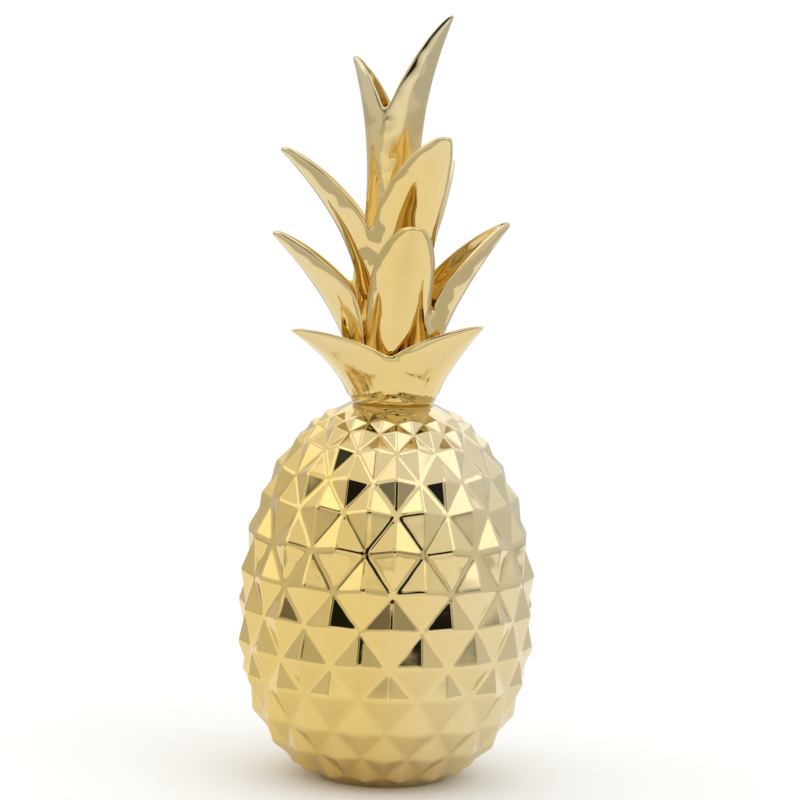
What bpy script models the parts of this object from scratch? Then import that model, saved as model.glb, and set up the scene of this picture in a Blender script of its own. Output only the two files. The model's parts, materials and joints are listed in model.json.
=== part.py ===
"""Ceramic pineapple: a hollow egg-shaped body cut with diamond points, and a lift-off crown of leaves."""

import math
from collections import namedtuple

import bmesh
import bpy
from mathutils import Vector

MM = 0.001
TOUCH_GAP = 0.3

# Body, in millimetres: an egg whose upper and lower halves each have their own reach and fullness
BELLY_RADIUS = 66.0
BELLY_HEIGHT = 79.1
UPPER_REACH = 101.0
LOWER_REACH = 86.7
UPPER_FULLNESS = 2.155
LOWER_FULLNESS = 2.58
BODY_HEIGHT = 175.4
WALL = 4.5
MOUTH_RADIUS = 15.0
INNER_RINGS = 15

# Diamond points: fifteen columns of four-sided pyramids, each row turned half a column from the last. The
# columns twist a little on their way up, and the points lift a little above the middle of their corners
COLUMNS = 15
SLOTS = 2 * COLUMNS
FIRST_COLUMN = math.radians(2.6)
TWIST_PER_MM = math.radians(0.016)
TWIST_HEIGHT = 95.0
POINT_RELIEF = 0.060
POINT_LIFT = 0.36
CORNER_ROWS = (1.2, 6.1, 17.8, 30.6, 46.9, 61.6, 78.8, 95.3, 113.4, 130.6, 144.2, 156.8, 164.5, 169.0, 172.4)

# Crown: heights are above its seat on the body, and the whole crown leans a little to the left
CROWN_LEAN = math.radians(-1.85)
PLUG_RADIUS = 14.3
PLUG_DEPTH = 9.0
BORE_RADIUS = 10.5
CORE_SIDES = 36
PLUG_CHAMFER = 0.8
LEAF_STATIONS = 13
LEAF_STRIPS = 6
LEAF_OPENING = math.radians(72)
MARGIN_THINNING = 0.35
TIP_THICKNESS = 0.55
ROOT_STAGGER = 0.8
CURVE_THICKNESS = 0.7
GOLD = (0.80, 0.58, 0.19)

# The crown's turned core from the plug up, as (radius, height): the plug, the rolled collar, then the stem
CORE_OUTLINE = (
    (PLUG_RADIUS - PLUG_CHAMFER, -PLUG_DEPTH), (PLUG_RADIUS, PLUG_CHAMFER - PLUG_DEPTH), (PLUG_RADIUS, 0.0),
    (18.4, 0.0), (19.8, 0.5), (20.3, 1.8), (20.2, 4.0), (18.2, 7.0),
    (18.0, 22.0), (16.2, 40.0), (13.2, 54.0), (12.0, 88.0), (10.6, 104.0), (6.0, 109.0),
)
# The bore that leaves the core hollow, from just below the plug up
BORE_OUTLINE = (
    (BORE_RADIUS, -PLUG_DEPTH - 2.0), (BORE_RADIUS, 44.0), (7.5, 60.0), (7.0, 92.0), (3.0, 99.0),
)

# One ring of leaves: where the midrib starts and bends, and the gutter's half width and depth at its root and
# where it is fullest, the share `full` of the way up. From there to the tip the width falls by the first two
# tapers, of which the second is 1 for a pointed leaf and less for a round one, and the depth by the third
Tier = namedtuple("Tier", "name root bend root_gutter full_gutter full tapers thickness leaves")
# One leaf: its direction clockwise from the front as seen from above, and how far out and up its tip is
Leaf = namedtuple("Leaf", "direction reach rise")

TIERS = (
    Tier("collar_leaves", (20.2, 0.9), (27.3, 19.0), (18.5, 11.0), (22.5, 18.6), 0.28, (1.7, 0.85, 0.75), 3.2,
         (Leaf(-60.6, 52.8, 33.7), Leaf(56.4, 49.5, 38.0), Leaf(178, 52.0, 35.0))),
    Tier("lower_leaves", (20.0, 18.0), (26.0, 46.0), (16.0, 8.0), (17.0, 15.6), 0.47, (1.7, 0.85, 0.55), 3.0,
         (Leaf(-90, 56.6, 77.4), Leaf(107, 58.5, 84.5), Leaf(-171, 56.0, 78.0))),
    Tier("front_leaf", (20.1, 17.4), (26.0, 46.0), (16.0, 8.0), (16.0, 15.6), 0.47, (2.3, 0.6, 0.5), 3.0,
         (Leaf(10.8, 56.0, 83.5),)),
    Tier("upper_leaves", (15.0, 48.0), (20.0, 84.0), (14.0, 8.0), (18.0, 14.6), 0.45, (1.7, 0.85, 0.5), 3.0,
         (Leaf(-91, 52.8, 116.3), Leaf(149, 56.6, 111.6))),
    Tier("broad_leaf", (15.2, 47.4), (20.0, 84.0), (14.9, 9.2), (18.0, 14.6), 0.45, (2.2, 0.7, 0.5), 3.0,
         (Leaf(31, 49.1, 124.1),)),
    Tier("short_spire", (13.5, 80.0), (9.0, 126.0), (12.0, 8.0), (11.5, 14.2), 0.57, (1.7, 0.9, 0.62), 2.6,
         (Leaf(-104, 19.3, 160.0),)),
    Tier("tall_spire", (13.6, 80.0), (8.3, 134.0), (12.0, 8.0), (12.2, 19.5), 0.36, (1.7, 0.95, 0.69), 2.6,
         (Leaf(75, 29.7, 180.1),)),
    Tier("back_spire", (13.5, 80.0), (10.0, 114.0), (12.0, 8.0), (9.0, 8.0), 0.47, (1.7, 0.9, 0.6), 2.6,
         (Leaf(142, 20.0, 140.0),)),
)


def clear_scene():
    for item in list(bpy.data.objects):
        bpy.data.objects.remove(item, do_unlink=True)


def gold_glaze(name, colour):
    """Mirror gold fired over a white glaze."""
    material = bpy.data.materials.new(name)
    material.use_nodes = True
    shader = material.node_tree.nodes["Principled BSDF"]
    shader.inputs["Base Color"].default_value = (*colour, 1.0)
    shader.inputs["Metallic"].default_value = 1.0
    shader.inputs["Roughness"].default_value = 0.08
    return material


def add_object(name, mesh_data, material, height=0.0):
    """Makes the object from a bmesh in millimetres, with its origin on the axis at the given height."""
    bmesh.ops.recalc_face_normals(mesh_data, faces=mesh_data.faces)
    bmesh.ops.scale(mesh_data, vec=(MM, MM, MM), verts=mesh_data.verts)
    mesh = bpy.data.meshes.new(name)
    mesh_data.to_mesh(mesh)
    mesh_data.free()
    mesh.materials.append(material)
    item = bpy.data.objects.new(name, mesh)
    item.location.z = height * MM
    bpy.context.scene.collection.objects.link(item)
    return item


def egg_radius(height, inset=0.0):
    """Radius of the egg at a height, or of the egg that lies `inset` inside it."""
    above = height > BELLY_HEIGHT
    reach = (UPPER_REACH if above else LOWER_REACH) - inset
    power = UPPER_FULLNESS if above else LOWER_FULLNESS
    share = min(1.0, abs(height - BELLY_HEIGHT) / reach)
    return (BELLY_RADIUS - inset) * math.sqrt(1.0 - share**power)


def egg_outward(height):
    """Outward direction (radial, upward) on the egg at a height."""
    step = 0.1
    slope = (egg_radius(height + step) - egg_radius(height - step)) / (2 * step)
    length = math.hypot(1.0, slope)
    return 1.0 / length, -slope / length


def ring(mesh_data, radius, height, sides=SLOTS, turn=FIRST_COLUMN):
    """A ring of vertices round the axis, from the front to the right and on round."""
    angles = [turn + math.tau * side / sides for side in range(sides)]
    return [mesh_data.verts.new((radius * math.sin(a), -radius * math.cos(a), height)) for a in angles]


def join_rings(mesh_data, lower, upper):
    sides = len(lower)
    for side in range(sides):
        after = (side + 1) % sides
        mesh_data.faces.new((lower[side], lower[after], upper[after], upper[side]))


def point_row(mesh_data, row):
    """One row of the diamonds: the corners lie on the egg, and the tips between them stand proud of it."""
    level = CORNER_ROWS[row]
    outward, upward = egg_outward(level)
    turn = FIRST_COLUMN + TWIST_PER_MM * (level - TWIST_HEIGHT)
    vertices = []
    for slot in range(SLOTS):
        is_tip = (slot + row) % 2 == 0 and 0 < row < len(CORNER_ROWS) - 1
        relief = POINT_RELIEF * egg_radius(level) if is_tip else 0.0
        angle = turn + math.tau * slot / SLOTS
        radius = egg_radius(level) + relief * (outward - POINT_LIFT * upward)
        height = level + relief * (upward + POINT_LIFT * outward)
        vertices.append(mesh_data.verts.new((radius * math.sin(angle), -radius * math.cos(angle), height)))
    return vertices


def join_point_rows(mesh_data, lower, upper, row):
    """Splits each square between two rows along the valley that joins its two corners."""
    for slot in range(SLOTS):
        after = (slot + 1) % SLOTS
        a, b, c, d = lower[slot], lower[after], upper[after], upper[slot]
        if (slot + row) % 2 == 0:
            mesh_data.faces.new((a, b, d))
            mesh_data.faces.new((b, c, d))
        else:
            mesh_data.faces.new((a, b, c))
            mesh_data.faces.new((a, c, d))


def make_body(material):
    """The jar: diamond points outside, smooth inside, a flat foot and a round mouth under the crown."""
    mesh_data = bmesh.new()
    foot = ring(mesh_data, egg_radius(0.0), 0.0)
    rows = [point_row(mesh_data, row) for row in range(len(CORNER_ROWS))]
    mesh_data.faces.new(foot)
    join_rings(mesh_data, foot, rows[0])
    for row in range(len(rows) - 1):
        join_point_rows(mesh_data, rows[row], rows[row + 1], row)
    shoulder = ring(mesh_data, egg_radius(BODY_HEIGHT), BODY_HEIGHT)
    join_rings(mesh_data, rows[-1], shoulder)

    lip = ring(mesh_data, MOUTH_RADIUS, BODY_HEIGHT)
    join_rings(mesh_data, shoulder, lip)
    under_lip = BODY_HEIGHT - WALL
    previous = ring(mesh_data, MOUTH_RADIUS, under_lip)
    join_rings(mesh_data, lip, previous)
    for step in range(INNER_RINGS + 1):
        share = 0.5 - 0.5 * math.cos(math.pi * step / INNER_RINGS)
        height = under_lip + (WALL - under_lip) * share
        current = ring(mesh_data, egg_radius(height, WALL), height)
        join_rings(mesh_data, previous, current)
        previous = current
    mesh_data.faces.new(previous)
    return add_object("body", mesh_data, material)


def turned(name, profile, material):
    """A closed solid of revolution from (radius, height) points that run from bottom to top off the axis."""
    mesh_data = bmesh.new()
    rings = [ring(mesh_data, radius, height, CORE_SIDES, 0.0) for radius, height in profile]
    for lower, upper in zip(rings, rings[1:]):
        join_rings(mesh_data, lower, upper)
    mesh_data.faces.new(rings[0])
    mesh_data.faces.new(rings[-1])
    lean(mesh_data)
    return add_object(name, mesh_data, material, BODY_HEIGHT + TOUCH_GAP)


def lean(mesh_data):
    """Leans what is above the seat, and leaves the plug below it upright."""
    for vertex in mesh_data.verts:
        vertex.co.x += math.tan(CROWN_LEAN) * max(0.0, vertex.co.z)


def smooth_step(share):
    return share * share * (3.0 - 2.0 * share)


def gutter(tier, share):
    """Half width, depth and wall thickness of a leaf's gutter at a share of the way up it."""
    if share < tier.full:
        blend = smooth_step(share / tier.full)
        width = tier.root_gutter[0] + (tier.full_gutter[0] - tier.root_gutter[0]) * blend
        depth = tier.root_gutter[1] + (tier.full_gutter[1] - tier.root_gutter[1]) * blend
    else:
        above = (share - tier.full) / (1.0 - tier.full)
        width_fall, roundness, depth_fall = tier.tapers
        width = tier.full_gutter[0] * (1.0 - above**width_fall) ** roundness
        depth = tier.full_gutter[1] * (1.0 - above) ** depth_fall
    bend_radius = (width / math.sin(LEAF_OPENING)) ** 2 / max(depth / (1.0 - math.cos(LEAF_OPENING)), 1e-6)
    thickness = min(tier.thickness, TIP_THICKNESS * width, CURVE_THICKNESS * bend_radius)
    return width, depth, thickness


def midrib(tier, leaf, share):
    """Point on the leaf's back in its upright plane (out, up), and the way from there into the gutter."""
    root = (tier.root[0], tier.root[1] + ROOT_STAGGER * tier.leaves.index(leaf))
    tip = (leaf.reach, leaf.rise)
    near = 1.0 - share
    weights = (near * near, 2 * near * share, share * share)
    place = [sum(w * part for w, part in zip(weights, parts)) for parts in zip(root, tier.bend, tip)]
    along = [near * (b - a) + share * (c - b) for a, b, c in zip(root, tier.bend, tip)]
    length = math.hypot(*along)
    return place, (-along[1] / length, along[0] / length)


def leaf_point(tier, leaf, share, across, inner):
    """A point of the leaf's back, or of its hollow side, at `across` from -1 to 1 between its margins."""
    (out, up), (into_out, into_up) = midrib(tier, leaf, share)
    width, depth, thickness = gutter(tier, share)
    angle = across * LEAF_OPENING
    side = width * math.sin(angle) / math.sin(LEAF_OPENING)
    rise = depth * (1.0 - math.cos(angle)) / (1.0 - math.cos(LEAF_OPENING))
    if inner:
        run_side = width * math.cos(angle) / math.sin(LEAF_OPENING)
        run_rise = depth * math.sin(angle) / (1.0 - math.cos(LEAF_OPENING))
        run = math.hypot(run_side, run_rise)
        wall = thickness * (1.0 - MARGIN_THINNING * across * across)
        side -= wall * run_rise / run
        rise += wall * run_side / run
    out += into_out * rise
    up += into_up * rise
    turn = math.radians(leaf.direction)
    sine, cosine = math.sin(turn), math.cos(turn)
    return Vector((out * sine + side * cosine, side * sine - out * cosine, up))


def make_leaf(tier, number, material):
    """One leaf: a gutter-shaped blade that tapers to a point, closed at its root inside the core."""
    leaf = tier.leaves[number]
    mesh_data = bmesh.new()
    across = [2.0 * strip / LEAF_STRIPS - 1.0 for strip in range(LEAF_STRIPS + 1)]
    sections = []
    for station in range(LEAF_STATIONS):
        share = station / LEAF_STATIONS
        back = [leaf_point(tier, leaf, share, place, False) for place in across]
        hollow = [leaf_point(tier, leaf, share, place, True) for place in reversed(across)]
        sections.append([mesh_data.verts.new(point) for point in back + hollow])
    for lower, upper in zip(sections, sections[1:]):
        join_rings(mesh_data, lower, upper)
    mesh_data.faces.new(sections[0])
    tip = mesh_data.verts.new(leaf_point(tier, leaf, 1.0, 0.0, False))
    last = sections[-1]
    for corner, vertex in enumerate(last):
        mesh_data.faces.new((vertex, last[(corner + 1) % len(last)], tip))
    lean(mesh_data)
    return add_object(f"{tier.name}_{number}", mesh_data, material, BODY_HEIGHT + TOUCH_GAP)


def hide_tool(item):
    item.hide_render = True
    item.display_type = "WIRE"


def combine(target, operation, tool):
    """Adds a Boolean that joins or cuts an object or a collection of them."""
    modifier = target.modifiers.new(operation.lower(), "BOOLEAN")
    modifier.operation = operation
    modifier.solver = "EXACT"
    if isinstance(tool, bpy.types.Collection):
        modifier.operand_type = "COLLECTION"
        modifier.collection = tool
    else:
        modifier.object = tool


def make_crown(material):
    """The lid: a plug and rolled collar, a hollow core, and the leaves that grow from it in four rings."""
    crown = turned("crown", CORE_OUTLINE, material)
    leaves = bpy.data.collections.new("crown_leaves")
    bpy.context.scene.collection.children.link(leaves)
    for tier in TIERS:
        for number in range(len(tier.leaves)):
            leaf = make_leaf(tier, number, material)
            bpy.context.scene.collection.objects.unlink(leaf)
            leaves.objects.link(leaf)
            hide_tool(leaf)
    bore = turned("crown_bore", BORE_OUTLINE, material)
    hide_tool(bore)
    combine(crown, "UNION", leaves)
    combine(crown, "DIFFERENCE", bore)
    return crown


def main():
    clear_scene()
    make_body(gold_glaze("body_gold", GOLD))
    crown = make_crown(gold_glaze("crown_gold", GOLD))
    crown.data.shade_smooth()
    crown.data.set_sharp_from_angle(angle=math.radians(40))


main()
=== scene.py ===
import json
import math

import bmesh
import bpy
from bpy.props import FloatProperty, FloatVectorProperty, IntProperty, PointerProperty
from bpy.types import Operator, Panel, PropertyGroup
from mathutils import Matrix, Vector

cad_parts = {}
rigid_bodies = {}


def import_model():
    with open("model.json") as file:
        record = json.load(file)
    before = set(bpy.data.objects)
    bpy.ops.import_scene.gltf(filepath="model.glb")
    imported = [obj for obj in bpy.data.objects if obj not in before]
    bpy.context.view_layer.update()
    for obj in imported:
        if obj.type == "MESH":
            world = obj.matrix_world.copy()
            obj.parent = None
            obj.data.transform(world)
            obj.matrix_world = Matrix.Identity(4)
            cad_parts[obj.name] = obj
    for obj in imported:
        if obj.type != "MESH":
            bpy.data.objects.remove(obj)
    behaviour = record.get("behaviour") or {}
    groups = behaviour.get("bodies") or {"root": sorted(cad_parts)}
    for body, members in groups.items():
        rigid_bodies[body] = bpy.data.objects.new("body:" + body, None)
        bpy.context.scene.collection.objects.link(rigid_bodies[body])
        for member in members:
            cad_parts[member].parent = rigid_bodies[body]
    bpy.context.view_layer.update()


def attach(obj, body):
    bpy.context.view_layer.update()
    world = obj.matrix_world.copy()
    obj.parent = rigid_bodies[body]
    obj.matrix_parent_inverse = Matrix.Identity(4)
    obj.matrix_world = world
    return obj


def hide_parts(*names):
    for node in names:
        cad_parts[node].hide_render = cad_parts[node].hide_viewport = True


bl_info = {
    "name": "Ceramic Pineapple Ornament",
    "version": (1, 0, 0),
    "blender": (4, 5, 0),
    "location": "3D View > Sidebar > Pineapple",
    "description": "Builds a gold-lustred ceramic pineapple: a diamond-point jar under a crown of leaves",
    "category": "Add Mesh",
}

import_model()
MM = 0.001

# Heights of the rows where the diamonds' corners lie, in millimetres above the foot
CORNER_ROWS = (1.2, 6.1, 17.8, 30.6, 46.9, 61.6, 78.8, 95.3, 113.4, 130.6, 144.2, 156.8, 164.5, 169.0,
               172.4)

# Height where the twist of the columns is nought
TWIST_HEIGHT = 95.0 * MM

# The crown's turned core and the hollow in it: radius and height above the seat, in millimetres
CORE_OUTLINE = (
    (13.5, -9.0), (13.9, -8.85), (14.2, -8.5), (14.3, -8.0), (14.3, -0.3), (14.6, 0.0),
    (18.3, 0.0), (19.2, 0.2), (19.8, 0.6), (20.2, 1.3), (20.3, 2.2), (20.2, 3.4), (19.8, 4.5), (19.1, 5.6),
    (18.4, 6.8), (18.2, 8.4), (18.0, 22.0), (16.2, 40.0), (13.2, 54.0), (12.0, 88.0),
    (11.4, 98.0), (9.6, 105.0), (6.0, 108.4), (2.0, 109.4),
)
HOLLOW_OUTLINE = ((10.5, -11.0), (10.5, 44.0), (7.5, 60.0), (7.0, 92.0), (3.0, 99.0))

# Leaves of one ring share a shape. root and bend place the midrib (out, up). root_gutter and full_gutter
# are the gutter's half width and depth at the root and where it is fullest, the share `full` of the way up.
# From there to the tip the width falls by the first two tapers, of which the second is 1 for a pointed leaf
# and less for a round one, and the depth by the third. Each leaf is (degrees from the front, tip out, tip
# up). Lengths are in millimetres, and heights are above the seat.
LEAF_RINGS = (
    dict(root=(20.2, 0.9), bend=(27.3, 19.0), root_gutter=(18.5, 11.0), full_gutter=(22.5, 18.6), full=0.28,
         tapers=(1.7, 0.85, 0.75), wall=3.2,
         leaves=((-60.6, 52.8, 33.7), (56.4, 49.5, 38.0), (178, 52.0, 35.0))),
    dict(root=(20.0, 18.0), bend=(26.0, 46.0), root_gutter=(16.0, 8.0), full_gutter=(17.0, 15.6), full=0.47,
         tapers=(1.7, 0.85, 0.55), wall=3.0,
         leaves=((-90, 56.6, 77.4), (107, 58.5, 84.5), (-171, 56.0, 78.0))),
    dict(root=(20.1, 17.4), bend=(26.0, 46.0), root_gutter=(16.0, 8.0), full_gutter=(16.0, 15.6), full=0.47,
         tapers=(2.3, 0.6, 0.5), wall=3.0, leaves=((10.8, 56.0, 83.5),)),
    dict(root=(15.0, 48.0), bend=(20.0, 84.0), root_gutter=(14.0, 8.0), full_gutter=(18.0, 14.6), full=0.45,
         tapers=(1.7, 0.85, 0.5), wall=3.0, leaves=((-91, 52.8, 116.3), (149, 56.6, 111.6))),
    dict(root=(15.2, 47.4), bend=(20.0, 84.0), root_gutter=(14.9, 9.2), full_gutter=(18.0, 14.6), full=0.45,
         tapers=(2.2, 0.7, 0.5), wall=3.0, leaves=((31, 49.1, 124.1),)),
    dict(root=(13.5, 80.0), bend=(9.0, 126.0), root_gutter=(12.0, 8.0), full_gutter=(11.5, 14.2), full=0.57,
         tapers=(1.7, 0.9, 0.62), wall=2.6, leaves=((-104, 19.3, 160.0),)),
    dict(root=(13.6, 80.0), bend=(8.3, 134.0), root_gutter=(12.0, 8.0), full_gutter=(12.2, 19.5), full=0.36,
         tapers=(1.7, 0.95, 0.69), wall=2.6, leaves=((75, 29.7, 180.1),)),
    dict(root=(13.5, 80.0), bend=(10.0, 114.0), root_gutter=(12.0, 8.0), full_gutter=(9.0, 8.0), full=0.47,
         tapers=(1.7, 0.9, 0.6), wall=2.6, leaves=((142, 20.0, 140.0),)),
)

# The jar where it isn't cut with diamonds: steps out from the foot's rim and up, the middle of the foot,
# and steps out from the shoulder and up, in millimetres, then the rounding of the lip and the rings inside
FOOT_STEPS = ((0.8, 0.4), (0.0, 0.05), (-1.0, 0.0), (-2.4, 0.0), (-3.2, 0.5), (-9.0, 0.6))
FOOT_MIDDLE = (2.0, 0.6)
SHOULDER_STEPS = ((0.4, -0.35), (-0.3, 0.0))
LIP_RADIUS = 1.0 * MM
LIP_STEPS = 4
INNER_RINGS = 24
INNER_MIDDLE = 4.0 * MM
JAR_SHARP_ANGLE = math.radians(60)

# The mould's own unevenness: waves per metre, and which casting this is
UNEVEN_SCALE = 60.0
CASTING = 3.0

# Points of the diamond grid, and of a leaf, that are closer than this are one
GRID_MERGE = 0.01 * MM
LEAF_MERGE = 0.0005 * MM

# How a leaf is drawn: how much its stations crowd towards the tip, the most that its wall may be of its
# half width and of its bend, the most that a margin's rounding takes off the arc, the steps round a margin,
# and the least that a length is divided by
STATION_CROWDING = 0.35
WALL_PER_WIDTH = 0.55
WALL_PER_BEND = 0.7
MOST_ROUNDING = 0.5
MARGIN_STEPS = 6
SMALLEST = 1e-9

# The crown's turned core, and the creases that glaze fills where leaves meet
CORE_SIDES = 96
CREASE_ANGLE = math.radians(18)
CREASE_REACH = 4
CREASE_GAIN = 6.0
CREASE_SMOOTHING = 14
CROWN_SHARP_ANGLE = math.radians(38)

# The lustre film: the size of its clouds and how far they shift it, the drift where it starts to pale and
# where it is palest, and how much of that drift a piece gains towards its top
CLOUD_SIZE = 45 * MM
CLOUD_SHIFT = 30 * MM
PALE_FROM = 9 * MM
PALE_TO = 119 * MM
UPPER_DRIFT = 50 * MM

# The glaze under it: the size of its dull patches, the noise where they begin and end and what they multiply
# the roughness by, the length of its ripple, and its orange peel's size and depth
PATCH_SIZE = 20 * MM
PATCH_NOISE = (0.3, 0.7)
PATCH_ROUGHNESS = (0.6, 1.4)
RIPPLE_SIZE = 11 * MM
PEEL_SIZE = 1.6 * MM
PEEL_DEPTH = 0.005 * MM

# The light tent: its brightness up to the first height and above the second, and the plain backdrop's
HORIZON_TOP = math.radians(8)
HORIZON_GLOW = 0.75
CLOTH_FROM = math.radians(30)
CLOTH_GLOW = 0.95
BACKDROP_GLOW = 1.05

# The floor, the lamp over it, and the camera: its sensor and clipping, what it aims at, and half of what it
# sees there
FLOOR_ROUGHNESS = 0.85
LAMP_SIZE = 2.4
LAMP_HEIGHT = 2.2
SENSOR_WIDTH = 36.0
CLIPPING = (0.05, 50.0)
WAIST_HEIGHT = 177.1 * MM
AIM_TO_RIGHT = 3.3 * MM
HALF_FRAME = 186.64 * MM


def linear(code, alpha=1.0):
    """Linear colour of an sRGB hex value."""
    channels = [int(code[place:place + 2], 16) / 255 for place in (1, 3, 5)]
    lit = [c / 12.92 if c <= 0.04045 else ((c + 0.055) / 1.055) ** 2.4 for c in channels]
    return (*lit, alpha)


class PineappleJarSettings(PropertyGroup):
    belly_radius: FloatProperty(name="Belly Radius", description="Egg radius where it is widest",
                                default=66.0 * MM, unit="LENGTH")
    belly_height: FloatProperty(name="Belly Height", description="Height where the egg is widest",
                                default=79.1 * MM, unit="LENGTH")
    upper_reach: FloatProperty(name="Upper Reach", description="From the belly to the egg's top",
                               default=101.0 * MM, unit="LENGTH")
    lower_reach: FloatProperty(name="Lower Reach", description="From the belly to the egg's bottom",
                               default=86.7 * MM, unit="LENGTH")
    upper_fullness: FloatProperty(name="Upper Fullness", description="2 is an ellipse, more is squarer",
                                  default=2.155)
    lower_fullness: FloatProperty(name="Lower Fullness", description="2 is an ellipse, more is squarer",
                                  default=2.58)
    height: FloatProperty(name="Height", description="Height of the flat top that carries the crown",
                          default=175.4 * MM, unit="LENGTH")
    wall: FloatProperty(name="Wall", description="Thickness of the wall under the corners",
                        default=4.5 * MM, unit="LENGTH")
    mouth_radius: FloatProperty(name="Mouth Radius", description="Radius of the opening under the crown",
                                default=15.0 * MM, unit="LENGTH")
    columns: IntProperty(name="Columns", description="Diamond points round the jar", default=15, min=3)
    first_column: FloatProperty(name="First Column", description="Turn of the first column from the front",
                                default=math.radians(2.6), subtype="ANGLE")
    twist: FloatProperty(name="Twist", description="Turn of the columns from the foot to the top",
                         default=math.radians(0.016 * 175.4), subtype="ANGLE")
    relief: FloatProperty(name="Relief",
                          description="How far a point stands proud, as a share of the radius",
                          default=0.060)
    point_lift: FloatProperty(name="Point Lift",
                              description="Rise of a point as a share of how far it stands proud",
                              default=0.36)
    fineness: IntProperty(name="Fineness", description="Faces along half a diamond", default=14, min=2)
    rounding: IntProperty(name="Edge Rounding", description="Smoothing passes over the ridges and valleys",
                          default=1, min=0)
    unevenness: FloatProperty(name="Unevenness", description="How far the slip-cast facets stray from flat",
                              default=0.35 * MM, unit="LENGTH")


class PineappleCrownSettings(PropertyGroup):
    lean: FloatProperty(name="Lean", description="Lean of the crown; below nought it leans left",
                        default=math.radians(-1.85), subtype="ANGLE")
    seat: FloatProperty(name="Seat", description="Height of the crown's seat", default=175.7 * MM,
                        unit="LENGTH")
    opening: FloatProperty(name="Leaf Opening", description="Half the arc of a leaf's gutter",
                           default=math.radians(72), subtype="ANGLE")
    margin_thinning: FloatProperty(name="Margin Thinning",
                                   description="Share of the wall lost at the margins",
                                   default=0.35, subtype="FACTOR")
    stations: IntProperty(name="Stations", description="Sections along a leaf", default=72, min=8)
    strips: IntProperty(name="Strips", description="Faces across each side of a leaf", default=20, min=4)
    root_stagger: FloatProperty(name="Root Stagger", description="Step between the roots of one ring",
                                default=0.8 * MM, unit="LENGTH")
    tip_reach: FloatProperty(name="Tip Reach", description="How far glaze carries the thin tips on",
                             default=1.5 * MM, unit="LENGTH")


class PineappleFinishSettings(PropertyGroup):
    gold: FloatVectorProperty(name="Gold", description="Lustre at full strength", subtype="COLOR", size=3,
                              default=linear("#E3C67C")[:3])
    pale_gold: FloatVectorProperty(name="Pale Gold", description="Lustre at its palest", subtype="COLOR",
                                   size=3, default=linear("#DDD5BC")[:3])
    roughness: FloatProperty(name="Roughness", description="Roughness of the fired lustre", default=0.07,
                             subtype="FACTOR")


class PineappleStageSettings(PropertyGroup):
    floor_size: FloatProperty(name="Floor Size", description="Side of the floor", default=1.2,
                              unit="LENGTH")
    camera_distance: FloatProperty(name="Camera Distance", description="From the lens to the ornament",
                                   default=1369.0 * MM, unit="LENGTH")
    camera_elevation: FloatProperty(name="Camera Elevation", description="How far the camera looks down",
                                    default=math.radians(5.7), subtype="ANGLE")
    camera_roll: FloatProperty(name="Camera Roll", description="Turn about the line of sight",
                               default=math.radians(1.87), subtype="ANGLE")
    light: FloatProperty(name="Light", description="Brightness of the white tent", default=1.0)
    fill: FloatProperty(name="Fill", description="Power of the lamp over the floor", default=4.5,
                        unit="POWER")


def add_node(tree, kind, sockets=None, **settings):
    """Adds a node with its properties; sockets gives each input a value, or an output to link from."""
    made = tree.nodes.new(kind)
    for name, value in settings.items():
        setattr(made, name, value)
    for key, value in (sockets or {}).items():
        if isinstance(value, bpy.types.NodeSocket):
            tree.links.new(value, made.inputs[key])
        else:
            made.inputs[key].default_value = value
    return made


def maths(tree, operation, *values):
    """Works a number out from others, and gives the output that carries it."""
    return add_node(tree, "ShaderNodeMath", dict(enumerate(values)), operation=operation).outputs[0]


def vector_maths(tree, operation, first, second=None):
    """The same for vectors; SCALE takes a vector and a number."""
    values = {0: first} if second is None else {0: first, "Scale" if operation == "SCALE" else 1: second}
    return add_node(tree, "ShaderNodeVectorMath", values, operation=operation).outputs[0]


def position(tree):
    """Where the tree's points are."""
    return add_node(tree, "GeometryNodeInputPosition").outputs[0]


def new_geometry_tree(name, inputs):
    """A Geometry Nodes tree with named inputs, and the sockets that carry them."""
    tree = bpy.data.node_groups.new(name, "GeometryNodeTree")
    tree.interface.new_socket("Geometry", in_out="OUTPUT", socket_type="NodeSocketGeometry")
    tree.interface.new_socket("Geometry", in_out="INPUT", socket_type="NodeSocketGeometry")
    for label, kind in inputs:
        tree.interface.new_socket(label, in_out="INPUT", socket_type=kind)
    return tree, add_node(tree, "NodeGroupInput").outputs


def finish_geometry_tree(tree, geometry, material):
    """Ends a tree in real geometry with its material."""
    real = add_node(tree, "GeometryNodeRealizeInstances", {"Geometry": geometry})
    dressed = add_node(tree, "GeometryNodeSetMaterial", {"Geometry": real.outputs[0], "Material": material})
    add_node(tree, "NodeGroupOutput", {0: dressed.outputs[0]})


def add_object(name, data):
    """Makes an object of the data and puts it in the scene."""
    made = bpy.data.objects.new(name, data)
    bpy.context.scene.collection.objects.link(made)
    return made


def grown_mesh(name, tree, source, values):
    """Runs a tree on a source mesh with its inputs set, and gives the result as a plain mesh."""
    item = add_object(name, source)
    modifier = item.modifiers.new("shape", "NODES")
    modifier.node_group = tree
    for socket in tree.interface.items_tree:
        if socket.item_type == "SOCKET" and socket.in_out == "INPUT" and socket.name in values:
            modifier[socket.identifier] = values[socket.name]
    graph = bpy.context.evaluated_depsgraph_get()
    mesh = bpy.data.meshes.new_from_object(item.evaluated_get(graph), depsgraph=graph)
    item.modifiers.remove(modifier)
    bpy.data.objects.remove(item)
    bpy.data.meshes.remove(source)
    mesh.name = name
    return mesh


def row_mesh(name, places, attributes):
    """A row of loose points that carries what a tree needs at each of them."""
    mesh = bpy.data.meshes.new(name)
    mesh.from_pydata(places, [], [])
    for label, values in attributes.items():
        vector = hasattr(values[0], "__len__")
        layer = mesh.attributes.new(label, "FLOAT_VECTOR" if vector else "FLOAT", "POINT")
        for place, value in enumerate(values):
            setattr(layer.data[place], "vector" if vector else "value", value)
    return mesh


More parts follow.
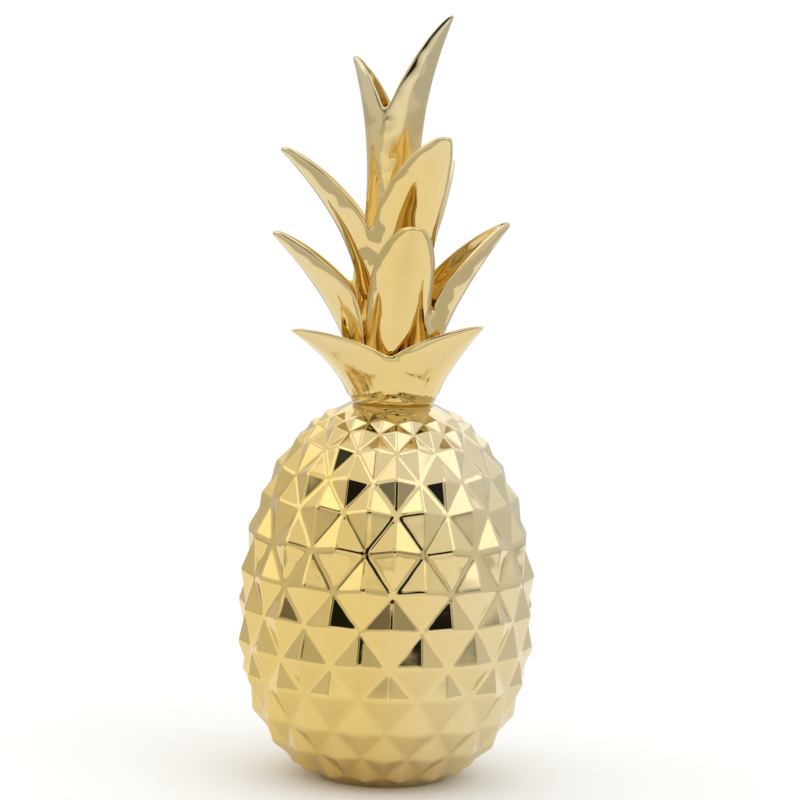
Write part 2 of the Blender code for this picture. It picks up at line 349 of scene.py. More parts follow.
def egg_radius(jar, height, inset=0.0):
    """Radius of the egg at a height, or of the egg that lies `inset` inside it."""
    above = height > jar.belly_height
    reach = (jar.upper_reach if above else jar.lower_reach) - inset
    power = jar.upper_fullness if above else jar.lower_fullness
    share = min(1.0, abs(height - jar.belly_height) / reach)
    return (jar.belly_radius - inset) * math.sqrt(1.0 - share**power)


def egg_outward(jar, height):
    """Outward direction (radial, upward) on the egg at a height."""
    step = 0.1 * MM
    slope = (egg_radius(jar, height + step) - egg_radius(jar, height - step)) / (2 * step)
    length = math.hypot(1.0, slope)
    return 1.0 / length, -slope / length


def diamond_rows(jar):
    """A point for each row of the jar, in its first column: where its corner lies and its tip stands."""
    corners, tips = [], []
    for row, level in enumerate(level * MM for level in CORNER_ROWS):
        outward, upward = egg_outward(jar, level)
        turn = jar.first_column + jar.twist * (level - TWIST_HEIGHT) / jar.height
        relief = jar.relief * egg_radius(jar, level) if 0 < row < len(CORNER_ROWS) - 1 else 0.0
        proud = egg_radius(jar, level) + relief * (outward - jar.point_lift * upward)
        for places, radius, height in ((corners, egg_radius(jar, level), level),
                                       (tips, proud, level + relief * (upward + jar.point_lift * outward))):
            places.append((radius * math.sin(turn), -radius * math.cos(turn), height))
    return row_mesh("diamond_rows", corners, {"tip": tips})


def diamond_tree():
    """Wraps a fine grid round the axis, each point in the flat facet of a tip and two corners."""
    tree, given = new_geometry_tree("Diamond Points", (
        ("Columns", "NodeSocketInt"), ("Fineness", "NodeSocketInt"), ("Edge Rounding", "NodeSocketInt"),
        ("Unevenness", "NodeSocketFloat"), ("Seed", "NodeSocketFloat"), ("Material", "NodeSocketMaterial"),
    ))
    # Slots are half columns; the grid has one unit for each slot across and each row up
    rows = add_node(tree, "GeometryNodeAttributeDomainSize", {0: given["Geometry"]}).outputs["Point Count"]
    last = maths(tree, "SUBTRACT", rows, 1.0)
    slots = maths(tree, "MULTIPLY", given["Columns"], 2.0)
    across = maths(tree, "MULTIPLY_ADD", slots, given["Fineness"], 1.0)
    upward = maths(tree, "MULTIPLY_ADD", last, given["Fineness"], 1.0)
    grid = add_node(tree, "GeometryNodeMeshGrid",
                    {"Size X": slots, "Size Y": last, "Vertices X": across, "Vertices Y": upward})
    place = add_node(tree, "ShaderNodeSeparateXYZ", {0: position(tree)})
    u = maths(tree, "MULTIPLY_ADD", slots, 0.5, place.outputs["X"])
    v = maths(tree, "MULTIPLY_ADD", last, 0.5, place.outputs["Y"])

    # The square that the point is in, and where in it the point is
    slot = maths(tree, "FLOOR", u)
    top_row = maths(tree, "SUBTRACT", last, 1.0)
    whole = maths(tree, "FLOOR", v)
    row = maths(tree, "MINIMUM", whole, top_row)
    a = maths(tree, "SUBTRACT", u, slot)
    b = maths(tree, "SUBTRACT", v, row)
    both = maths(tree, "ADD", slot, row)
    turn = maths(tree, "FLOORED_MODULO", both, 2.0)

    # Half of the square belongs to the tip below, the other half to the tip above, across the valley
    from_low = maths(tree, "SUBTRACT", turn, a)
    a_low = maths(tree, "ABSOLUTE", from_low)
    total = maths(tree, "ADD", a_low, b)
    above = maths(tree, "GREATER_THAN", total, 1.0)
    weights = []
    for low in (a_low, b):
        signed = maths(tree, "SUBTRACT", above, low)
        weights.append(maths(tree, "ABSOLUTE", signed))
    flip = maths(tree, "SUBTRACT", above, turn)
    flipped = maths(tree, "ABSOLUTE", flip)
    tip_slot = maths(tree, "ADD", slot, flipped)
    unflipped = maths(tree, "SUBTRACT", 1.0, flipped)
    side_slot = maths(tree, "ADD", slot, unflipped)
    tip_row = maths(tree, "ADD", row, above)
    below = maths(tree, "SUBTRACT", 1.0, above)
    other_row = maths(tree, "ADD", row, below)

    tip = add_node(tree, "GeometryNodeInputNamedAttribute", {"Name": "tip"},
                   data_type="FLOAT_VECTOR").outputs[0]
    corner = position(tree)
    slot_angle = maths(tree, "DIVIDE", math.tau, slots)
    points = []
    for what, at_row, at_slot in ((tip, tip_row, tip_slot), (corner, tip_row, side_slot),
                                  (corner, other_row, tip_slot)):
        on_row = add_node(tree, "GeometryNodeSampleIndex", {"Geometry": given["Geometry"], "Value": what,
                                                            "Index": at_row}, data_type="FLOAT_VECTOR")
        angle = maths(tree, "MULTIPLY", at_slot, slot_angle)
        points.append(add_node(tree, "ShaderNodeVectorRotate",
                               {"Vector": on_row.outputs[0], "Angle": angle},
                               rotation_type="Z_AXIS").outputs[0])
    facet = points[0]
    for weight, end in zip(weights, points[1:]):
        edge = vector_maths(tree, "SUBTRACT", end, points[0])
        step = vector_maths(tree, "SCALE", edge, weight)
        facet = vector_maths(tree, "ADD", facet, step)
    wrapped = add_node(tree, "GeometryNodeSetPosition",
                       {"Geometry": grid.outputs["Mesh"], "Position": facet})
    closed = add_node(tree, "GeometryNodeMergeByDistance",
                      {"Geometry": wrapped.outputs[0], "Distance": GRID_MERGE})

    # Slip casting leaves each facet a little out of true
    noise = add_node(tree, "ShaderNodeTexNoise", {"Scale": UNEVEN_SCALE, "Detail": 1.0, "W": given["Seed"]},
                     noise_dimensions="4D")
    stray = vector_maths(tree, "SUBTRACT", noise.outputs["Color"], (0.5, 0.5, 0.5))
    offset = vector_maths(tree, "SCALE", stray, given["Unevenness"])
    uneven = add_node(tree, "GeometryNodeSetPosition",
                      {"Geometry": closed.outputs[0], "Offset": offset})

    # Glaze rounds every ridge and fills every valley
    blur = add_node(tree, "GeometryNodeBlurAttribute",
                    {"Value": position(tree), "Iterations": given["Edge Rounding"]},
                    data_type="FLOAT_VECTOR")
    rounded = add_node(tree, "GeometryNodeSetPosition",
                       {"Geometry": uneven.outputs[0], "Position": blur.outputs[0]})
    smooth = add_node(tree, "GeometryNodeSetShadeSmooth", {"Geometry": rounded.outputs[0]})
    finish_geometry_tree(tree, smooth.outputs[0], given["Material"])
    return tree


def edge_loop(mesh_data, is_wanted):
    """The open edge's vertices that pass the test, in order round the axis."""
    loop = {v for e in mesh_data.edges if e.is_boundary for v in e.verts if is_wanted(v.co)}
    return sorted(loop, key=lambda v: math.atan2(v.co.x, -v.co.y))


def carry_on(mesh_data, loop, outline):
    """Carries an open edge on through rings of (radius, height), each with the loop's own directions."""
    for radius, height in outline:
        ring = []
        for vertex in loop:
            flat = math.hypot(vertex.co.x, vertex.co.y)
            ring.append(mesh_data.verts.new((vertex.co.x * radius / flat, vertex.co.y * radius / flat,
                                             height)))
        for place in range(len(loop)):
            after = (place + 1) % len(loop)
            mesh_data.faces.new((loop[place], loop[after], ring[after], ring[place]))
        loop = ring
    return loop


def close_jar(jar, mesh):
    """Gives the diamond shell its flat foot, its rounded lip, and the plain glazed inside."""
    mesh_data = bmesh.new()
    mesh_data.from_mesh(mesh)
    foot = edge_loop(mesh_data, lambda co: co.z < jar.belly_height)
    top = edge_loop(mesh_data, lambda co: co.z > jar.belly_height)
    foot_radius = egg_radius(jar, 0.0)
    outline = [(foot_radius + out * MM, up * MM) for out, up in FOOT_STEPS]
    outline.append(tuple(part * MM for part in FOOT_MIDDLE))
    mesh_data.faces.new(carry_on(mesh_data, foot[::-1], outline))

    shoulder = egg_radius(jar, jar.height)
    outline = [(shoulder + out * MM, jar.height + up * MM) for out, up in SHOULDER_STEPS]
    for step in range(LIP_STEPS + 1):
        angle = math.radians(90 * step / LIP_STEPS)
        outline.append((jar.mouth_radius + LIP_RADIUS - LIP_RADIUS * math.sin(angle),
                        jar.height - LIP_RADIUS + LIP_RADIUS * math.cos(angle)))
    under_lip = jar.height - jar.wall
    outline.append((jar.mouth_radius, under_lip + LIP_RADIUS))
    for step in range(INNER_RINGS + 1):
        share = 0.5 - 0.5 * math.cos(math.pi * step / INNER_RINGS)
        height = under_lip + (jar.wall - under_lip) * share
        outline.append((egg_radius(jar, height, jar.wall), height))
    outline.append((INNER_MIDDLE, jar.wall))
    mesh_data.faces.new(carry_on(mesh_data, top, outline))
    for face in mesh_data.faces:
        face.smooth = True
        face.material_index = 0
    bmesh.ops.recalc_face_normals(mesh_data, faces=mesh_data.faces)
    mesh_data.to_mesh(mesh)
    mesh_data.free()
    mesh.set_sharp_from_angle(angle=JAR_SHARP_ANGLE)


def smooth_step(share):
    return share * share * (3.0 - 2.0 * share)


def leaf_spine(crown, ring, number):
    """The stations of a leaf: its midrib, the way into its gutter, and the gutter's size and wall."""
    _, reach, rise = ring["leaves"][number]
    points = [Vector((0.0, -out * MM, up * MM)) for out, up in (ring["root"], ring["bend"], (reach, rise))]
    points[0].z += crown.root_stagger * number
    points[2] += crown.tip_reach * (points[2] - points[1]).normalized()
    places = []
    traits = {"inward": [], "arc_width": [], "arc_depth": [], "wall": [], "half_opening": []}
    for station in range(crown.stations + 1):
        even = station / crown.stations
        share = even + STATION_CROWDING * even * (1.0 - even)
        near = 1.0 - share
        along = near * (points[1] - points[0]) + share * (points[2] - points[1])
        places.append(near * near * points[0] + 2 * near * share * points[1] + share * share * points[2])
        traits["inward"].append(Vector((0.0, along.z, -along.y)).normalized())
        if share < ring["full"]:
            blend = smooth_step(share / ring["full"])
            width, depth = (a + (b - a) * blend for a, b in zip(ring["root_gutter"], ring["full_gutter"]))
        else:
            past = min(1.0, (share - ring["full"]) / (1.0 - ring["full"]))
            width_fall, roundness, depth_fall = ring["tapers"]
            width = ring["full_gutter"][0] * (1.0 - past**width_fall) ** roundness
            depth = ring["full_gutter"][1] * (1.0 - past) ** depth_fall
        arc_width = width * MM / math.sin(crown.opening)
        arc_depth = depth * MM / (1.0 - math.cos(crown.opening))
        bend_radius = arc_width**2 / max(arc_depth, SMALLEST)
        wall = min(ring["wall"] * MM, WALL_PER_WIDTH * width * MM, WALL_PER_BEND * bend_radius)
        margin_run = math.hypot(arc_width * math.cos(crown.opening), arc_depth * math.sin(crown.opening))
        margin_wall = wall * (1.0 - crown.margin_thinning)
        traits["arc_width"].append(arc_width)
        traits["arc_depth"].append(arc_depth)
        traits["wall"].append(wall)
        rounding = min(MOST_ROUNDING, 0.5 * margin_wall / max(margin_run, SMALLEST))
        traits["half_opening"].append(crown.opening - rounding)
    return row_mesh("leaf_spine", places, traits)


def leaf_section(crown):
    """A leaf's wall as a loop: the back, a round margin, the hollow side, and the other margin."""
    across, through, beyond = [], [], []
    for side in (1.0, -1.0):
        for strip in range(crown.strips + 1):
            across.append(side * (2.0 * strip / crown.strips - 1.0))
            through.append(0.5 - 0.5 * side)
            beyond.append(0.0)
        for step in range(1, MARGIN_STEPS):
            angle = math.pi * step / MARGIN_STEPS
            across.append(side)
            through.append(0.5 - 0.5 * side * math.cos(angle))
            beyond.append(side * 0.5 * math.sin(angle))
    places = [(float(place), 0.0, 0.0) for place in range(len(across))]
    return row_mesh("leaf_section", places, {"across": across, "through": through, "beyond": beyond})


def leaf_tree():
    """Sweeps the leaf's section along its spine, and turns the leaf to its direction round the crown."""
    tree, given = new_geometry_tree("Gutter Leaf", (
        ("Section", "NodeSocketObject"), ("Margin Thinning", "NodeSocketFloat"),
        ("Direction", "NodeSocketFloat"), ("Lean", "NodeSocketFloat"), ("Seat", "NodeSocketFloat"),
        ("Material", "NodeSocketMaterial"),
    ))
    section = add_node(tree, "GeometryNodeObjectInfo", {"Object": given["Section"]}).outputs["Geometry"]
    around = add_node(tree, "GeometryNodeAttributeDomainSize", {0: section}).outputs["Point Count"]
    along = add_node(tree, "GeometryNodeAttributeDomainSize", {0: given["Geometry"]}).outputs["Point Count"]
    columns = maths(tree, "ADD", around, 1.0)
    last = maths(tree, "SUBTRACT", along, 1.0)
    grid = add_node(tree, "GeometryNodeMeshGrid", {"Size X": around, "Size Y": last,
                                                   "Vertices X": columns, "Vertices Y": along})
    place = add_node(tree, "ShaderNodeSeparateXYZ", {0: position(tree)})
    u = maths(tree, "MULTIPLY_ADD", around, 0.5, place.outputs["X"])
    v = maths(tree, "MULTIPLY_ADD", last, 0.5, place.outputs["Y"])
    column = maths(tree, "ROUND", u)
    wrapped = maths(tree, "FLOORED_MODULO", column, around)
    station = maths(tree, "ROUND", v)

    found = {}
    for label, kind, source, index in (
        ("across", "FLOAT", section, wrapped), ("through", "FLOAT", section, wrapped),
        ("beyond", "FLOAT", section, wrapped), ("arc_width", "FLOAT", given["Geometry"], station),
        ("arc_depth", "FLOAT", given["Geometry"], station), ("wall", "FLOAT", given["Geometry"], station),
        ("half_opening", "FLOAT", given["Geometry"], station),
        ("inward", "FLOAT_VECTOR", given["Geometry"], station),
    ):
        named = add_node(tree, "GeometryNodeInputNamedAttribute", {"Name": label}, data_type=kind)
        found[label] = add_node(tree, "GeometryNodeSampleIndex",
                                {"Geometry": source, "Value": named.outputs[0], "Index": index},
                                data_type=kind).outputs[0]
    spine = add_node(tree, "GeometryNodeSampleIndex",
                     {"Geometry": given["Geometry"], "Value": position(tree), "Index": station},
                     data_type="FLOAT_VECTOR").outputs[0]

    # The back of the gutter is an arc; its run along the arc gives the way through the wall
    angle = maths(tree, "MULTIPLY", found["across"], found["half_opening"])
    sine = maths(tree, "SINE", angle)
    cosine = maths(tree, "COSINE", angle)
    sagitta = maths(tree, "SUBTRACT", 1.0, cosine)
    arc = add_node(tree, "ShaderNodeCombineXYZ",
                   {"X": found["arc_width"], "Y": found["arc_depth"]}).outputs[0]
    bow = add_node(tree, "ShaderNodeCombineXYZ", {"X": sine, "Y": sagitta}).outputs[0]
    back = vector_maths(tree, "MULTIPLY", bow, arc)
    slant = add_node(tree, "ShaderNodeCombineXYZ", {"X": cosine, "Y": sine}).outputs[0]
    tangent = vector_maths(tree, "NORMALIZE", vector_maths(tree, "MULTIPLY", slant, arc))
    normal = add_node(tree, "ShaderNodeVectorRotate", {"Vector": tangent, "Angle": 0.5 * math.pi},
                      rotation_type="Z_AXIS").outputs[0]
    spread = maths(tree, "MULTIPLY", found["across"], found["across"])
    lost = maths(tree, "MULTIPLY", spread, given["Margin Thinning"])
    kept = maths(tree, "SUBTRACT", 1.0, lost)
    wall = maths(tree, "MULTIPLY", found["wall"], kept)
    flat = back
    for way, share in ((normal, "through"), (tangent, "beyond")):
        amount = maths(tree, "MULTIPLY", wall, found[share])
        step = vector_maths(tree, "SCALE", way, amount)
        flat = vector_maths(tree, "ADD", flat, step)

    parts = add_node(tree, "ShaderNodeSeparateXYZ", {0: flat})
    rise = vector_maths(tree, "SCALE", found["inward"], parts.outputs["Y"])
    sideways = add_node(tree, "ShaderNodeCombineXYZ", {"X": parts.outputs["X"]})
    lifted = vector_maths(tree, "ADD", spine, rise)
    facing = vector_maths(tree, "ADD", lifted, sideways.outputs[0])
    turned = add_node(tree, "ShaderNodeVectorRotate",
                      {"Vector": facing, "Angle": given["Direction"]},
                      rotation_type="Z_AXIS")
    height = add_node(tree, "ShaderNodeSeparateXYZ", {0: turned.outputs[0]}).outputs["Z"]
    slope = maths(tree, "TANGENT", given["Lean"])
    shift = maths(tree, "MULTIPLY", height, slope)
    carried = add_node(tree, "ShaderNodeCombineXYZ", {"X": shift, "Z": given["Seat"]})
    final = vector_maths(tree, "ADD", turned.outputs[0], carried.outputs[0])
    swept = add_node(tree, "GeometryNodeSetPosition",
                     {"Geometry": grid.outputs["Mesh"], "Position": final})
    closed = add_node(tree, "GeometryNodeMergeByDistance",
                      {"Geometry": swept.outputs[0], "Distance": LEAF_MERGE})
    smooth = add_node(tree, "GeometryNodeSetShadeSmooth", {"Geometry": closed.outputs[0]})
    finish_geometry_tree(tree, smooth.outputs[0], given["Material"])
    return tree


def notch_tree():
    """Fuses leaves where they meet, as glaze pools there: it smooths the crown near its inward creases."""
    tree, given = new_geometry_tree("Fused Notches", (
        ("Crease Angle", "NodeSocketFloat"), ("Reach", "NodeSocketInt"), ("Smoothing", "NodeSocketInt"),
        ("Material", "NodeSocketMaterial"),
    ))
    bend = add_node(tree, "GeometryNodeInputMeshEdgeAngle").outputs["Signed Angle"]
    crease = add_node(tree, "FunctionNodeCompare", {"A": bend, "B": given["Crease Angle"]},
                      data_type="FLOAT", operation="GREATER_THAN")
    on_crease = add_node(tree, "GeometryNodeFieldOnDomain", {"Value": crease.outputs[0]},
                         data_type="BOOLEAN", domain="EDGE").outputs[0]
    near = add_node(tree, "GeometryNodeStoreNamedAttribute", {
        "Geometry": given["Geometry"], "Name": "near_crease", "Value": on_crease,
    }, data_type="FLOAT", domain="POINT")
    spread = add_node(tree, "GeometryNodeInputNamedAttribute", {"Name": "near_crease"},
                      data_type="FLOAT").outputs[0]
    wide = add_node(tree, "GeometryNodeBlurAttribute", {"Value": spread, "Iterations": given["Reach"]},
                    data_type="FLOAT").outputs[0]
    strong = add_node(tree, "ShaderNodeMath", {0: wide, 1: CREASE_GAIN}, operation="MULTIPLY",
                      use_clamp=True).outputs[0]
    kept = add_node(tree, "GeometryNodeStoreNamedAttribute", {
        "Geometry": near.outputs[0], "Name": "near_crease", "Value": strong,
    }, data_type="FLOAT", domain="POINT")
    share = add_node(tree, "GeometryNodeInputNamedAttribute", {"Name": "near_crease"},
                     data_type="FLOAT").outputs[0]
    blur = add_node(tree, "GeometryNodeBlurAttribute",
                    {"Value": position(tree), "Iterations": given["Smoothing"], "Weight": share},
                    data_type="FLOAT_VECTOR")
    fused = add_node(tree, "GeometryNodeSetPosition",
                     {"Geometry": kept.outputs[0], "Position": blur.outputs[0]})
    clean = add_node(tree, "GeometryNodeRemoveAttribute",
                     {"Geometry": fused.outputs[0], "Name": "near_crease"})
    finish_geometry_tree(tree, clean.outputs[0], given["Material"])
    return tree


def fill_openings(mesh):
    """Closes the root of a leaf with one face."""
    mesh_data = bmesh.new()
    mesh_data.from_mesh(mesh)
    bmesh.ops.holes_fill(mesh_data, edges=[e for e in mesh_data.edges if e.is_boundary], sides=0)
    bmesh.ops.recalc_face_normals(mesh_data, faces=mesh_data.faces)
    mesh_data.to_mesh(mesh)
    mesh_data.free()


def turned_mesh(name, outline, crown):
    """A closed solid of revolution that leans with the crown above its seat."""
    mesh_data = bmesh.new()
    rings = []
    for radius, height in outline:
        lean = math.tan(crown.lean) * max(0.0, height * MM)
        angles = [math.tau * side / CORE_SIDES for side in range(CORE_SIDES)]
        rings.append([mesh_data.verts.new((radius * MM * math.sin(a) + lean, -radius * MM * math.cos(a),
                                           crown.seat + height * MM)) for a in angles])
    for lower, upper in zip(rings, rings[1:]):
        for side in range(CORE_SIDES):
            after = (side + 1) % CORE_SIDES
            mesh_data.faces.new((lower[side], lower[after], upper[after], upper[side]))
    mesh_data.faces.new(rings[0])
    mesh_data.faces.new(rings[-1])
    bmesh.ops.recalc_face_normals(mesh_data, faces=mesh_data.faces)
    mesh = bpy.data.meshes.new(name)
    mesh_data.to_mesh(mesh)
    mesh_data.free()
    return mesh


def gold_lustre(name, finish, left_paling, pale_from_height, pale_to_height, ripple_depth):
    """Bright gold lustre: a film of gold fired over a white glaze.

    It mirrors like polished metal. Its colour is paler and cooler to the right, and towards the top of a
    piece between two heights. To the left it pales by the share `left_paling` of that, or goes on getting
    deeper gold where the share is -1. The glaze under it keeps a slight ripple and a fine orange peel."""
    material = bpy.data.materials.new(name)
    material.use_nodes = True
    tree = material.node_tree
    shader = tree.nodes["Principled BSDF"]
    place = add_node(tree, "ShaderNodeTexCoord").outputs["Object"]

    clouds = add_node(tree, "ShaderNodeTexNoise", {"Vector": place, "Scale": 1 / CLOUD_SIZE, "Detail": 2.0})
    axes = add_node(tree, "ShaderNodeSeparateXYZ", {0: place})
    left = maths(tree, "MULTIPLY", axes.outputs["X"], -left_paling)
    across = maths(tree, "MAXIMUM", axes.outputs["X"], left)
    cloudy = maths(tree, "MULTIPLY_ADD", clouds.outputs["Fac"], CLOUD_SHIFT, across)
    upper = add_node(tree, "ShaderNodeMapRange", {"Value": axes.outputs["Z"], "From Min": pale_from_height,
                                                  "From Max": pale_to_height, "To Max": UPPER_DRIFT})
    drift = maths(tree, "ADD", upper.outputs[0], cloudy)
    paling = add_node(tree, "ShaderNodeMapRange", {"Value": drift, "From Min": PALE_FROM,
                                                 "From Max": PALE_TO})
    colour = add_node(tree, "ShaderNodeMix", {"Factor": paling.outputs[0], 6: (*finish.gold, 1.0),
                                              7: (*finish.pale_gold, 1.0)}, data_type="RGBA")
    tree.links.new(colour.outputs[2], shader.inputs["Base Color"])
    shader.inputs["Metallic"].default_value = 1.0

    patches = add_node(tree, "ShaderNodeTexNoise",
                       {"Vector": place, "Scale": 1 / PATCH_SIZE, "Detail": 3.0})
    rough = add_node(tree, "ShaderNodeMapRange",
                     {"Value": patches.outputs["Fac"],
                      "From Min": PATCH_NOISE[0], "From Max": PATCH_NOISE[1],
                      "To Min": PATCH_ROUGHNESS[0] * finish.roughness,
                      "To Max": PATCH_ROUGHNESS[1] * finish.roughness})
    tree.links.new(rough.outputs[0], shader.inputs["Roughness"])

    ripple = add_node(tree, "ShaderNodeTexNoise",
                      {"Vector": place, "Scale": 1 / RIPPLE_SIZE, "Detail": 0.0})
    peel = add_node(tree, "ShaderNodeTexNoise", {"Vector": place, "Scale": 1 / PEEL_SIZE, "Detail": 1.0})
    slow = add_node(tree, "ShaderNodeBump",
                    {"Height": ripple.outputs["Fac"], "Distance": ripple_depth, "Strength": 1.0})
    quick = add_node(tree, "ShaderNodeBump",
                     {"Height": peel.outputs["Fac"], "Distance": PEEL_DEPTH, "Strength": 1.0,
                      "Normal": slow.outputs[0]})
    tree.links.new(quick.outputs[0], shader.inputs["Normal"])
    return material


# What the tent shows from the ornament: the middle and half size of each panel (turn from the front to the
# right, height above the horizon) and its edge, in degrees, and what it multiplies the tent's brightness by
TENT_PANELS = (
    ("right_softbox", (58, 47), (22, 16), 5, 1.6),
    ("left_softbox", (-29, 60), (13, 6), 5, 1.7),
    ("left_window", (-86, 28), (26, 7), 6, 1.45),
    ("left_roof", (-90, 60), (18, 7), 6, 1.4),
    ("back_panel", (175, 34), (35, 14), 8, 1.35),
    ("side_dusk", (-135, 4), (28, 12), 8, 0.9),
    ("table_edge", (0, -4), (18, 9), 5, 1.4),
    ("dim_room", (3, 14), (52, 8), 6, 0.8),
    ("room_floor", (180, -15), (180, 7), 5, 0.82),
    ("dark_gap", (0, 18), (19, 6), 3, 0.02),
    ("left_mast", (-41, 18), (10, 5), 4, 0.3),
    ("right_mast", (44, 16), (10, 5), 4, 0.6),
    ("boom", (-27, 38), (5, 4), 3, 0.04),
)


def light_tent(scene, brightness):
    """A white tent, dimmer at the horizon, with brighter panels and a dark gap round the camera."""
    world = bpy.data.worlds.new("light_tent")
    scene.world = world
    world.use_nodes = True
    tree = world.node_tree
    tree.nodes.clear()
    way = add_node(tree, "ShaderNodeTexCoord").outputs["Object"]
    axes = add_node(tree, "ShaderNodeSeparateXYZ", {0: way}).outputs
    front = maths(tree, "MULTIPLY", axes["Y"], -1.0)
    azimuth = maths(tree, "ARCTAN2", axes["X"], front)
    height = maths(tree, "ARCSINE", axes["Z"])
    glow = add_node(tree, "ShaderNodeMapRange", {
        "Value": height, "From Min": HORIZON_TOP, "From Max": CLOTH_FROM,
        "To Min": HORIZON_GLOW * brightness, "To Max": CLOTH_GLOW * brightness,
    }, interpolation_type="SMOOTHSTEP").outputs[0]
    for name, centre, half, edge, gain in TENT_PANELS:
        inside = []
        for angle, middle, reach in zip((azimuth, height), centre, half):
            off = maths(tree, "SUBTRACT", angle, math.radians(middle))
            near = maths(tree, "WRAP", off, -math.pi, math.pi)
            away = maths(tree, "ABSOLUTE", near)
            inside.append(add_node(tree, "ShaderNodeMapRange", {
                "Value": away, "From Min": math.radians(reach), "From Max": math.radians(reach + edge),
                "To Min": 1.0, "To Max": 0.0,
            }, interpolation_type="SMOOTHSTEP").outputs[0])
        share = maths(tree, "MULTIPLY", inside[0], inside[1])
        factor = add_node(tree, "ShaderNodeMath", {0: share, 1: gain - 1.0, 2: 1.0},
                          operation="MULTIPLY_ADD", label=name)
        glow = maths(tree, "MULTIPLY", glow, factor.outputs[0])
    tent = add_node(tree, "ShaderNodeBackground", {"Color": (1.0, 1.0, 1.0, 1.0), "Strength": glow})
    plain = add_node(tree, "ShaderNodeBackground",
                     {"Color": (1.0, 1.0, 1.0, 1.0), "Strength": BACKDROP_GLOW})
    path = add_node(tree, "ShaderNodeLightPath").outputs["Is Camera Ray"]
    both = add_node(tree, "ShaderNodeMixShader", {0: path, 1: tent.outputs[0], 2: plain.outputs[0]})
    add_node(tree, "ShaderNodeOutputWorld", {"Surface": both.outputs[0]})


class PINEAPPLE_OT_jar(Operator):
    """Builds the egg-shaped jar with its diamond points, foot, lip and hollow inside"""

    bl_idname = "pineapple.jar"
    bl_label = "Build Jar"

    def execute(self, context):
        jar = context.scene.pineapple_jar
        lustre = gold_lustre("jar_gold_lustre", context.scene.pineapple_finish, left_paling=-1.0,
                             pale_from_height=110 * MM, pale_to_height=175 * MM, ripple_depth=0.40 * MM)
        mesh = grown_mesh("jar_body", diamond_tree(), diamond_rows(jar), {
            "Columns": jar.columns, "Fineness": jar.fineness, "Edge Rounding": jar.rounding,
            "Unevenness": jar.unevenness, "Seed": CASTING, "Material": lustre,
        })
        close_jar(jar, mesh)
        mesh.materials.clear()
        mesh.materials.append(lustre)
        piece = add_object("jar_body", mesh)
        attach(piece, "root")
        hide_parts("body")
        return {"FINISHED"}


class PINEAPPLE_OT_crown(Operator):
    """Builds the lift-off crown: its plug, rolled collar and hollow core, and the leaves round them"""

    bl_idname = "pineapple.crown"
    bl_label = "Build Crown"

    def execute(self, context):
        crown = context.scene.pineapple_crown
        lustre = gold_lustre("crown_gold_lustre", context.scene.pineapple_finish, left_paling=0.9,
                             pale_from_height=285 * MM, pale_to_height=320 * MM, ripple_depth=0.65 * MM)
        tree = leaf_tree()
        section = add_object("leaf_section", leaf_section(crown))
        leaves = bpy.data.collections.new("crown_leaves")
        context.scene.collection.children.link(leaves)
        for ring in LEAF_RINGS:
            for number, (direction, _, _) in enumerate(ring["leaves"]):
                mesh = grown_mesh("leaf", tree, leaf_spine(crown, ring, number), {
                    "Section": section, "Margin Thinning": crown.margin_thinning,
                    "Direction": math.radians(direction), "Lean": crown.lean, "Seat": crown.seat,
                    "Material": lustre,
                })
                fill_openings(mesh)
                leaves.objects.link(bpy.data.objects.new("leaf", mesh))
        core = turned_mesh("leaf_crown", CORE_OUTLINE, crown)
        core.materials.append(lustre)
        piece = add_object("leaf_crown", core)
        hollow = add_object("hollow", turned_mesh("hollow", HOLLOW_OUTLINE, crown))
        joined = piece.modifiers.new("leaves", "BOOLEAN")
        joined.operation, joined.solver = "UNION", "MANIFOLD"
        joined.operand_type, joined.collection = "COLLECTION", leaves
        bored = piece.modifiers.new("hollow", "BOOLEAN")
        bored.operation, bored.solver, bored.object = "DIFFERENCE", "MANIFOLD", hollow
        graph = context.evaluated_depsgraph_get()
        union = bpy.data.meshes.new_from_object(piece.evaluated_get(graph), depsgraph=graph)
        piece.modifiers.clear()
        mesh = grown_mesh("leaf_crown", notch_tree(), union, {
            "Crease Angle": CREASE_ANGLE, "Reach": CREASE_REACH, "Smoothing": CREASE_SMOOTHING,
            "Material": lustre,
        })
        piece.data = mesh
        mesh.materials.clear()
        mesh.materials.append(lustre)
        mesh.shade_smooth()
        mesh.set_sharp_from_angle(angle=CROWN_SHARP_ANGLE)
        for tool in [hollow, section, *leaves.objects]:
            bpy.data.objects.remove(tool)
        bpy.data.collections.remove(leaves)
        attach(piece, "root")
        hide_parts("crown")
        return {"FINISHED"}


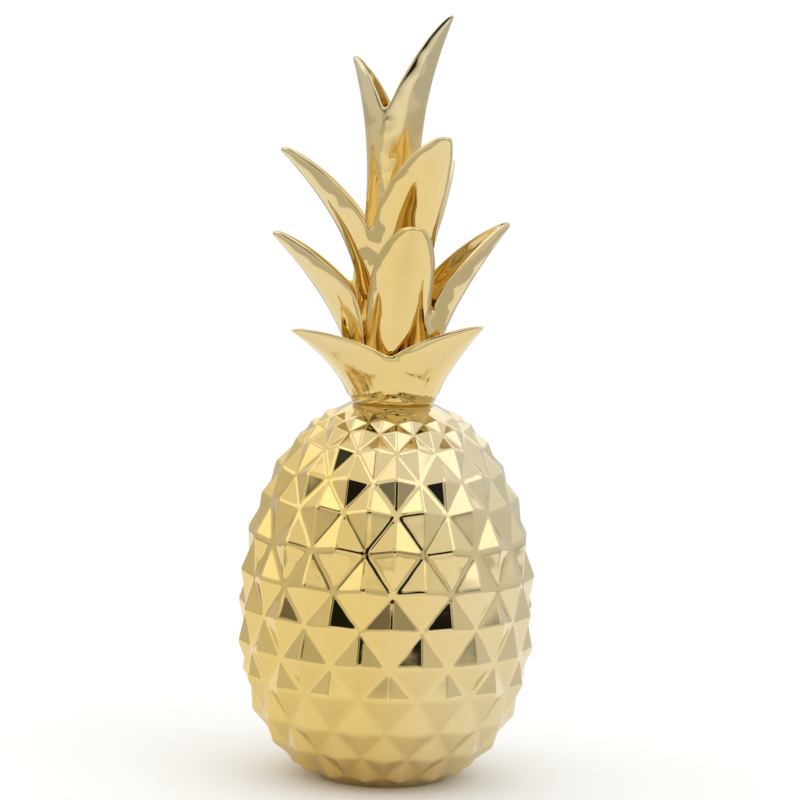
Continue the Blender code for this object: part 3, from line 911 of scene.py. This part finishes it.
class PINEAPPLE_OT_stage(Operator):
    """Sets the ornament on a pale floor in a white light tent, and aims the camera"""

    bl_idname = "pineapple.stage"
    bl_label = "Build Stage"

    def execute(self, context):
        settings = context.scene.pineapple_stage
        half = 0.5 * settings.floor_size
        mesh = bpy.data.meshes.new("floor")
        corners = [(-half, -half, 0), (half, -half, 0), (half, half, 0), (-half, half, 0)]
        mesh.from_pydata(corners, [], [(0, 1, 2, 3)])
        floor = add_object("floor", mesh)
        paper = bpy.data.materials.new("floor_paper")
        paper.use_nodes = True
        shader = paper.node_tree.nodes["Principled BSDF"]
        shader.inputs["Base Color"].default_value = linear("#FBFBFA")
        shader.inputs["Roughness"].default_value = FLOOR_ROUGHNESS
        mesh.materials.append(paper)

        fill = bpy.data.lights.new("overhead_fill", "AREA")
        fill.shape, fill.size = "DISK", LAMP_SIZE
        fill.energy = settings.fill
        lamp = add_object("overhead_fill", fill)
        lamp.location.z = LAMP_HEIGHT
        lamp.visible_glossy = False
        lamp.visible_camera = False
        light_tent(context.scene, settings.light)

        data = bpy.data.cameras.new("camera")
        data.sensor_width = SENSOR_WIDTH
        data.lens = 0.5 * SENSOR_WIDTH * settings.camera_distance / HALF_FRAME
        data.clip_start, data.clip_end = CLIPPING
        camera = add_object("camera", data)
        waist = Vector((0.0, 0.0, WAIST_HEIGHT))
        elevation = settings.camera_elevation
        back_up = Vector((0.0, -math.cos(elevation), math.sin(elevation)))
        camera.location = waist + settings.camera_distance * back_up
        aim = waist + Vector((AIM_TO_RIGHT, 0.0, 0.0))
        look = (aim - camera.location).to_track_quat("-Z", "Y").to_matrix().to_4x4()
        roll = Matrix.Rotation(settings.camera_roll, 4, "Z")
        camera.matrix_world = Matrix.Translation(camera.location) @ look @ roll
        context.scene.camera = camera
        context.scene.view_settings.view_transform = "Standard"
        return {"FINISHED"}


class PINEAPPLE_PT_sidebar(Panel):
    """Lists the ornament's pieces and the stage"""

    bl_idname = "PINEAPPLE_PT_sidebar"
    bl_label = "Ceramic Pineapple"
    bl_space_type = "VIEW_3D"
    bl_region_type = "UI"
    bl_category = "Pineapple"

    def draw(self, context):
        for operator, group in (("pineapple.jar", "pineapple_jar"), ("pineapple.crown", "pineapple_crown"),
                                ("pineapple.stage", "pineapple_stage")):
            box = self.layout.box()
            settings = getattr(context.scene, group)
            for name in settings.__annotations__:
                box.prop(settings, name)
            box.operator(operator)
        box = self.layout.box()
        for name in PineappleFinishSettings.__annotations__:
            box.prop(context.scene.pineapple_finish, name)


SETTINGS = {
    "pineapple_jar": PineappleJarSettings,
    "pineapple_crown": PineappleCrownSettings,
    "pineapple_finish": PineappleFinishSettings,
    "pineapple_stage": PineappleStageSettings,
}
CLASSES = (PINEAPPLE_OT_jar, PINEAPPLE_OT_crown, PINEAPPLE_OT_stage, PINEAPPLE_PT_sidebar)


def register():
    for name, group in SETTINGS.items():
        bpy.utils.register_class(group)
        setattr(bpy.types.Scene, name, PointerProperty(type=group))
    for item in CLASSES:
        bpy.utils.register_class(item)


def unregister():
    for item in reversed(CLASSES):
        bpy.utils.unregister_class(item)
    for name, group in reversed(SETTINGS.items()):
        delattr(bpy.types.Scene, name)
        bpy.utils.unregister_class(group)


def main():
    register()
    bpy.ops.pineapple.jar()
    bpy.ops.pineapple.crown()
    bpy.ops.pineapple.stage()


if __name__ == "__main__":
    main()
